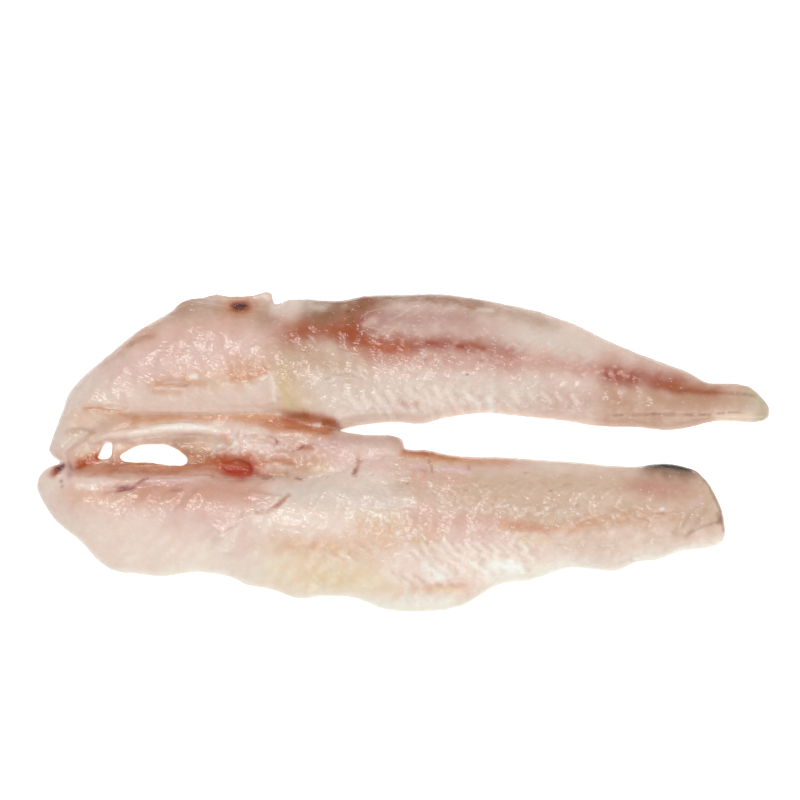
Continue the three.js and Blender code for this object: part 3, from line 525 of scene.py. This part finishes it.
        ("deepOrange", 0.6, 0.8, [(82, 51.4), (86, 50.4)]),
        ("blood", 0.5, 0.35, [(81.8, 50.8), (83.4, 51.8)]),
        ("lilac", 0.7, 0.8, [(87, 51.6), (91, 51.4)]),
        ("deepOrange", 0.55, 1.8, [(72, 60), (81, 58.6), (90, 56.6)]),
        # painted shade on the near wall under the upper side's edge
        ("deepOrange", 0.75, 1.6, [(77, 61.4), (84, 61.2), (92, 59.2)]),
        ("brown", 0.25, 1.0, [(78, 61.8), (84, 61.6)]),
        ("brown", 0.4, 1.2, [(89, 60), (93.6, 58.6)]),
        # a painted highlight on that wall
        ("white", 0.7, 0.45, [(86, 59.2), (88, 59)]),
        ("redBrown", 0.45, 0.8, [(99, 41.6), (100, 44), (100.6, 47)]),
        ("brown", 0.6, 0.5, [(98.8, 42), (99.4, 43.4)]),
        # lower side
        # painted shadow along the cracks, on the low side of each step
        ("redBrown", 0.4, 0.7, [(69.4, 28.3), (73.4, 29.1), (76.4, 31.2), (77.6, 33)]),
        ("redBrown", 0.5, 0.6, [(75.4, 30.6), (77.4, 32.4), (79.2, 34.6)]),
        ("redBrown", 0.25, 0.6, [(61.2, 22.4), (63.6, 25), (65.8, 28)]),
        ("deepOrange", 0.75, 1.2, [(115, 50.2), (121, 49), (130, 47.8)]),
        ("orange", 0.6, 1.6, [(124, 48), (136, 47), (146, 46.4)]),
        ("brown", 0.5, 0.7, [(114.8, 51), (122, 50.2), (127, 49)]),
        ("blood", 0.4, 0.4, [(121.8, 46.6), (122.8, 44.5), (123.2, 42.6)]),
        ("rose", 0.5, 0.8, [(119, 44), (121, 42.4)]),
        ("purple", 0.35, 0.4, [(134.2, 44.6), (134.4, 42.8)]),
        ("lilac", 0.7, 0.8, [(117, 44.8), (120, 44)]),
        ("lilac", 0.8, 0.9, [(126, 43.6), (131, 43), (134.4, 41.8)]),
        ("brown", 0.2, 0.3, [(146.6, 38.4), (148, 38.4)]),
        ("brown", 0.2, 0.3, [(152.6, 38.8), (154, 38.8)]),
        ("brown", 0.2, 0.3, [(156.6, 38.7), (158, 38.7)]),
        ("brown", 0.2, 0.3, [(163.4, 38.4), (166, 38.4)]),
        ("brown", 0.2, 0.3, [(171.6, 38.4), (173.4, 38.4)]),
        ("skin", 0.98, 1.3, [(190.5, 46.2), (196, 45.8), (203, 45)]),
        ("skin", 0.3, 2.4, [(192, 44.8), (202, 43.8)]),
        ("highlightWhite", 0.8, 0.45, [(193, 30.8), (193.8, 31)]),
        ("brown", 0.4, 0.35, [(192, 29.9), (194, 29.8)]),
        ("brown", 0.35, 0.45, [(202, 24.2), (205, 25.6), (209, 27), (211.6, 28.2)]),
        ("brown", 0.5, 0.9, [(211, 29.6), (211.4, 27.6)]),
        ("brown", 0.2, 0.8, [(197, 23.4), (199.4, 26), (202.4, 30)]),
        ("brown", 0.2, 0.8, [(201, 23), (203.6, 26.4), (207, 31)]),
        # painted shade along the cut tail end, where its face is undercut
        ("rim", 0.6, 0.5, [(204.4, 45), (208.4, 39), (211.8, 31), (212.6, 25)]),
        ("lilac", 0.6, 1.0, [(203, 33), (206, 34.6)]),
        ("brown", 0.5, 0.4, [(183.4, 15.8), (184.8, 15.6)]),
        ("deepOrange", 0.25, 1.3, [(149, 25), (152, 24.6), (158, 24)]),
        ("yellow", 0.6, 0.7, [(118, 20.4), (120, 20)]),
        # painted highlights among the flakes
        ("highlightWhite", 0.8, 1.3, [(142, 13.8), (149, 13.8)]),
        ("highlightWhite", 0.8, 0.9, [(124.2, 9.8), (126.2, 9.8)]),
        ("nape", 0.85, 1.6, [(132.4, 12.6), (137, 10.6)]),
        ("orange", 0.35, 0.8, [(121, 7.4), (128, 6.8), (133, 7.6)]),
        ("paleYellow", 0.7, 0.7, [(124, 6), (131, 5.8)]),
        ("yellow", 0.5, 0.9, [(150, 21.4), (158, 21)]),
    ],

    # The wet surface; scales are noise lumps to the metre
    "finish": {
        "fineScale": 700.0,             # faint lighter and darker grain
        "fineLift": (0.975, 1.025),
        "drawnTurn": -0.4,              # radians by which the glints are turned
        "drawnOut": 2.2,                # times as long as they are wide
        "dotScale": 1500.0,             # the painted glints themselves
        "dotCut": (0.74, 0.59),         # noise that shows as one, on dull and on glittering flesh
        "dotEdge": (-0.02, 0.05),       # noise either side of that cut over which one fades in
        "dotWhite": 0.6,                # strength of the painted highlight's colour
        # the colour of the painted highlights
        "dotColour": (0.93, 0.87, 0.82, 1),
        "dotHeight": 0.35,              # how far one stands above the wet film
        "wetScale": 860.0,              # ripples of the wet film
        "softStrength": 0.4,
        "softHeight": 0.00025,          # m, of the bumps in the flesh
        "crispHeight": 0.00027,         # m, of the bumps in the coat
    },
    "shader": {
        "Roughness": 0.5, "IOR": 1.36, "Specular IOR Level": 0.2,
        "Coat Weight": 1.0, "Coat Roughness": 0.16, "Coat IOR": 1.42,
        "Subsurface Weight": 0.35, "Subsurface Scale": 0.0012, "Subsurface Radius": (1.0, 0.7, 0.6),
    },
}


# Pieces of a material, each wired by name
def wire(tree, kind, settings=None, **inputs):
    made = tree.nodes.new("ShaderNode" + kind)
    for name, value in (settings or {}).items():
        setattr(made, name, value)
    for name, value in inputs.items():
        slot = made.inputs[int(name[1:])] if name[1:].isdigit() else made.inputs[name.replace("_", " ")]
        if isinstance(value, bpy.types.NodeSocket):
            tree.links.new(value, slot)
        else:
            slot.default_value = value
    return made


def fineCopy(node, name):
    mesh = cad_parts[node].data.copy()
    piece = bpy.data.objects.new(name, mesh)
    bpy.context.scene.collection.objects.link(piece)
    bm = bmesh.new()
    bm.from_mesh(mesh)
    bmesh.ops.remove_doubles(bm, verts=bm.verts, dist=1e-6)
    bm.to_mesh(mesh)
    bm.free()
    fine = piece.modifiers.new("fine", "REMESH")
    fine.mode = "VOXEL"
    fine.voxel_size = flesh["grid"] * mm
    soften = piece.modifiers.new("soften", "SMOOTH")
    soften.iterations = flesh["smoothing"]
    ready = piece.evaluated_get(bpy.context.evaluated_depsgraph_get())
    piece.data = bpy.data.meshes.new_from_object(ready)
    piece.modifiers.clear()
    piece.data.materials.clear()
    return piece


# The flat underside needs no fine grid, so it becomes one plain sheet
def plainUnderside(piece):
    bm = bmesh.new()
    bm.from_mesh(piece.data)
    bm.normal_update()
    flat = flesh["flatBelow"] * mm
    under = [f for f in bm.faces if f.normal.z < -0.9 and all(v.co.z < flat for v in f.verts)]
    for face in under:
        for vert in face.verts:
            vert.co.z = 0
    bmesh.ops.delete(bm, geom=under, context="FACES_ONLY")
    loose = [e for e in bm.edges if not e.link_faces]
    bmesh.ops.delete(bm, geom=loose, context="EDGES")
    lone = [v for v in bm.verts if not v.link_edges]
    bmesh.ops.delete(bm, geom=lone, context="VERTS")
    rim = [e for e in bm.edges if e.is_boundary]
    bmesh.ops.triangle_fill(bm, use_beauty=True, use_dissolve=False, edges=rim, normal=(0, 0, -1))
    bmesh.ops.recalc_face_normals(bm, faces=bm.faces)
    for face in bm.faces:
        face.smooth = True
    for edge in rim:
        edge.smooth = False
    bm.to_mesh(piece.data)
    bm.free()


# The short strokes of the flake rows and the specks: tint, strength, height, half width, path
def scattered():
    rng = np.random.default_rng(flesh["strokeSeed"])
    strokes = []
    for tint, strength, tall, length, width, lean, pitch, scatter, path in flesh["flakeRows"]:
        for px, py in dealtAlong(path, pitch, scatter, rng):
            turn = math.radians(lean + rng.normal() * flesh["leanScatter"])
            half = length * rng.uniform(0.3, 0.6)
            dx, dy = math.cos(turn) * half, math.sin(turn) * half
            share = rng.uniform(0.5, 1.0)
            gap = px + pitch * 0.5
            strokes.append(("gap", strength * flesh["gapStrength"], tall * flesh["gapHeight"],
                            width * flesh["gapWidth"], [(gap - dx, py - dy), (gap + dx, py + dy)]))
            strokes.append((tint, strength * share, tall * share, width * rng.uniform(0.7, 1.0),
                            [(px - dx, py - dy), (px + dx, py + dy)]))
    for tint, strength, tall, width, often, scatter, path in flesh["specks"]:
        for px, py in dealtAlong(path, 1 / often, scatter, rng):
            share = rng.uniform(0.3, 1.0)
            reach = rng.uniform(0.1, 0.5)
            strokes.append((tint, strength * share, tall * share, width * rng.uniform(0.7, 1.2),
                            [(px - reach, py), (px + reach, py + rng.uniform(-0.2, 0.2))]))
    return strokes


# The height after every slope is laid against the walls
def slopedHeight(x, y, tall):
    blend = flesh["slopeBlend"]
    for fall, reach, path in flesh["slopes"]:
        plan = [point[:2] for point in path]
        away, along = pathField(x, y, plan)[:2]
        lengths = np.cumsum([0] + [math.dist(a, b) for a, b in zip(plan, plan[1:])])
        crest = np.interp(along, lengths, [point[2] for point in path])
        slope = crest - fall * away - 3 * np.maximum(away - reach, 0)
        met = np.logaddexp(tall * blend, slope * blend) / blend
        tall = np.where(tall > slope - 1.5, met, np.maximum(tall, slope))
    return tall


# How far each point stands proud of the softened solid, in mm
def reliefAt(x, y, strokes):
    height = np.zeros_like(x)
    for size, tall in flesh["lumps"]:
        height += tall * grain(x, y, size, int(size * 10))
    height += flesh["fibreHeight"] * grain(x * flesh["fibreStretch"], y, flesh["fibreWidth"], 27)
    for tall, width, path in flesh["creases"]:
        height += tall * brush(x, y, path, width * 0.7, 2.0, 0.25)
    for _, _, tall, width, path in strokes:
        height += tall * brush(x, y, path, width, 2.0, 0.2)
    fade = flesh["tearFade"]
    for tall, reach, path in flesh["tears"]:
        away, along, side = pathField(x, y, path)
        apart = away * side + flesh["tearRagged"] * grain(x, y, flesh["tearLump"], 24)
        length = sum(math.dist(a, b) for a, b in zip(path, path[1:]))
        ends = smoothStep(along, 0, fade) * (1 - smoothStep(along, length - fade, length))
        # the lip rises over about half a millimetre, then slopes away over the reach
        height += tall * ends * smoothStep(apart, -0.25, 0.35) * (1 - smoothStep(apart, 0.3, reach))
    return height


# The colour of each point, painted shade and light included, with how much it glitters in the fourth column
def paintAt(x, y, normals, strokes):
    tints = flesh["tints"]
    colour = np.tile(tints["cream"], (len(x), 1))

    def lay(tint, mask):
        colour[:] = colour * (1 - mask[:, None]) + tints[tint] * mask[:, None]

    for tint, strength, width, path in flesh["washes"]:
        lay(tint, strength * brush(x, y, path, width, 2.0, 0.4, 0.15))
    for tint, strength, _, width, path in strokes:
        lay(tint, strength * brush(x, y, path, width, 3.4, 0.25))
    for tint, strength, width, path in flesh["marks"]:
        # the fainter a mark, the more ragged and patchy it is
        ragged, patchy = 0.6 * (1.1 - strength), 0.4 * (1 - strength)
        lay(tint, strength * brush(x, y, path, width, 2.6, ragged, patchy))
    farFacing, nearFacing = normals[:, 1], -normals[:, 1]
    onHead = smoothStep(y, 62, 64) * (1 - smoothStep(x, 66, 78))
    # partly the edge's grey-brown membrane, partly painted shade on rims that face far and curve away
    lay("rim", flesh["farRim"] * smoothStep(farFacing, 0.55, 0.97) * smoothStep(y, 62, 76))
    # painted light: the lower side's near-facing edge made pale, as if the floor shone through the slender
    # flesh
    lay("litEdgeTint", flesh["nearEdgeLight"] * smoothStep(nearFacing, 0.3, 0.9) * (1 - smoothStep(y, 22, 30)))
    # painted light: the near-facing wall of the upper side's head made as pale as its lit top
    lay("nape", flesh["napeFaceLight"] * smoothStep(nearFacing, 0.4, 0.8) * onHead)
    warm = sum(strength * grain(x, y, size, seed) for size, strength, seed in flesh["mottle"])
    colour *= 1 + warm[:, None] * np.array(flesh["mottleTint"])
    sheen = np.full_like(x, flesh["plainGlitter"])
    for strength, width, path in flesh["glitter"]:
        sheen = np.maximum(sheen, strength * brush(x, y, path, width, 2.0, 0.4, 0.3))
    return np.column_stack([colour, sheen])


def buildFlesh():
    piece = fineCopy("fillet", "flesh")
    print("flesh: fine copy", len(piece.data.vertices), "points")
    plainUnderside(piece)
    mesh = piece.data
    count = len(mesh.vertices)

    def readAll(name):
        values = np.empty(count * 3, np.float32)
        mesh.vertices.foreach_get(name, values)
        return values.reshape(-1, 3).astype(float)

    spots, normals = readAll("co"), readAll("normal")
    x = (spots[:, 0] - low.x) / mm
    y = (spots[:, 1] - low.y) / mm
    tall = spots[:, 2] / mm
    sloped = (normals[:, 2] > flesh["slopeFacing"]) & (tall > flesh["slopeAbove"])
    spots[:, 2] = np.where(sloped, slopedHeight(x, y, tall), tall) * mm
    mesh.vertices.foreach_set("co", spots.astype(np.float32).ravel())
    mesh.update()
    normals = readAll("normal")
    strokes = scattered()
    height = reliefAt(x, y, strokes)
    facing = smoothStep(normals[:, 2], *flesh["reliefFacing"])
    above = smoothStep(spots[:, 2] / mm, *flesh["reliefAbove"])
    spots += normals * (height * facing * above * mm)[:, None]
    spots[:, 2] = np.maximum(spots[:, 2], 0)
    mesh.vertices.foreach_set("co", spots.astype(np.float32).ravel())
    colour = paintAt(x, y, normals, strokes)
    layer = mesh.attributes.new("tint", "FLOAT_COLOR", "POINT")
    layer.data.foreach_set("color", colour.astype(np.float32).ravel())
    mesh.update()
    print("flesh: carved and painted,", sum(len(p.vertices) - 2 for p in mesh.polygons), "triangles")
    mesh.materials.append(fleshMaterial())
    return piece


def fleshMaterial():
    look = flesh["finish"]
    material = bpy.data.materials.new("wetFlesh")
    material.use_nodes = True
    tree = material.node_tree
    tree.nodes.clear()
    place = wire(tree, "TexCoord").outputs["Object"]
    drawn = wire(tree, "Mapping", {"vector_type": "TEXTURE"}, Vector=place,
                 Rotation=(0, 0, look["drawnTurn"]), Scale=(look["drawnOut"], 1, 1)).outputs[0]
    paint = wire(tree, "Attribute", {"attribute_name": "tint"})
    tint, sheen = paint.outputs["Color"], paint.outputs["Alpha"]
    fine = wire(tree, "TexNoise", Vector=place, Scale=look["fineScale"], Detail=3.0,
                Roughness=0.6).outputs["Fac"]
    darker, lighter = look["fineLift"]
    lift = wire(tree, "MapRange", Value=fine, _1=0.3, _2=0.7, _3=darker, _4=lighter).outputs[0]
    base = wire(tree, "VectorMath", {"operation": "MULTIPLY"}, _0=tint, _1=lift).outputs[0]
    # painted highlights: small pale points mixed into the base colour, thicker where the paint's alpha says
    # that it glitters
    dots = wire(tree, "TexNoise", Vector=drawn, Scale=look["dotScale"], Detail=2.0,
                Roughness=0.6).outputs["Fac"]
    dull, glittering = look["dotCut"]
    often = wire(tree, "MapRange", Value=sheen, _3=dull, _4=glittering).outputs[0]
    over = wire(tree, "Math", {"operation": "SUBTRACT"}, _0=dots, _1=often).outputs[0]
    under, full = look["dotEdge"]
    glint = wire(tree, "MapRange", Value=over, _1=under, _2=full, _3=0.0,
                 _4=look["dotWhite"]).outputs[0]
    lit = wire(tree, "MixRGB", Fac=glint, Color1=base, Color2=look["dotColour"]).outputs[0]
    wet = wire(tree, "TexNoise", Vector=drawn, Scale=look["wetScale"], Detail=2.0,
               Roughness=0.5).outputs["Fac"]
    raised = wire(tree, "Math", {"operation": "MULTIPLY_ADD"}, _0=glint, _1=look["dotHeight"],
                  _2=wet).outputs[0]
    soft = wire(tree, "Bump", Strength=look["softStrength"], Distance=look["softHeight"],
                Height=raised).outputs[0]
    crisp = wire(tree, "Bump", Strength=1.0, Distance=look["crispHeight"], Height=raised).outputs[0]
    shader = wire(tree, "BsdfPrincipled", Base_Color=lit, Normal=soft, Coat_Normal=crisp)
    for name, value in flesh["shader"].items():
        shader.inputs[name].default_value = value
    out = wire(tree, "OutputMaterial")
    tree.links.new(shader.outputs[0], out.inputs["Surface"])
    return material


camera = {
    "lens": 85, "sensor": 36,
    "elevation": 70,              # degrees above the table
    "distance": 0.5986,           # m from the point it looks at
    "aim": (-0.00182, 0.0165, 0),
}


def buildCamera():
    data = bpy.data.cameras.new("camera")
    data.lens = camera["lens"]
    data.sensor_width = camera["sensor"]
    holder = bpy.data.objects.new("camera", data)
    tilt = math.radians(camera["elevation"])
    back = Vector((0, -math.cos(tilt), math.sin(tilt))) * camera["distance"]
    holder.location = Vector(camera["aim"]) + back
    holder.rotation_euler = (math.radians(90) - tilt, 0, 0)
    bpy.context.scene.collection.objects.link(holder)
    bpy.context.scene.camera = holder


studio = {
    "sky": 0.43,
    "lamps": [
        # name, place in m, size in m, watts
        ("key", (-0.35, 0.5, 0.95), 0.3, 2.6),
        ("overhead", (-0.05, 0.1, 1.1), 0.28, 2.0),
        ("fill", (0.4, -0.6, 0.8), 0.8, 3.6),
    ],
    "floor": (0.9, 0.9, 0.9),
    "floorRoughness": 0.9,
    "floorGlow": 0.5,             # lightens the contact shadows
    "floorReach": 3,              # m from its middle to a side
    "floorDrop": 0.0001,          # m below the flesh
}


def buildStudio():
    world = bpy.data.worlds.new("studio")
    bpy.context.scene.world = world
    world.use_nodes = True
    world.node_tree.nodes["Background"].inputs["Color"].default_value = (1, 1, 1, 1)
    world.node_tree.nodes["Background"].inputs["Strength"].default_value = studio["sky"]
    for name, place, size, watts in studio["lamps"]:
        data = bpy.data.lights.new(name, "AREA")
        data.shape = "DISK"
        data.size = size
        data.energy = watts
        lamp = bpy.data.objects.new(name, data)
        lamp.location = place
        lamp.rotation_euler = (-Vector(place)).to_track_quat("-Z", "Y").to_euler()
        bpy.context.scene.collection.objects.link(lamp)
    bm = bmesh.new()
    bmesh.ops.create_grid(bm, x_segments=1, y_segments=1, size=studio["floorReach"])
    bmesh.ops.translate(bm, verts=bm.verts, vec=(0, 0, -studio["floorDrop"]))
    mesh = bpy.data.meshes.new("floor")
    bm.to_mesh(mesh)
    bm.free()
    floor = bpy.data.objects.new("floor", mesh)
    bpy.context.scene.collection.objects.link(floor)
    material = bpy.data.materials.new("paleFloor")
    material.use_nodes = True
    shader = material.node_tree.nodes["Principled BSDF"]
    shader.inputs["Base Color"].default_value = (*studio["floor"], 1)
    shader.inputs["Roughness"].default_value = studio["floorRoughness"]
    shader.inputs["Specular IOR Level"].default_value = 0
    shader.inputs["Emission Color"].default_value = (1, 1, 1, 1)
    shader.inputs["Emission Strength"].default_value = studio["floorGlow"]
    mesh.materials.append(material)


buildCamera()
buildStudio()
bpy.context.scene.view_settings.view_transform = "Standard"
print("camera and studio ready")
fillet = buildFlesh()
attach(fillet, "root")
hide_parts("fillet")
print("flesh in place")
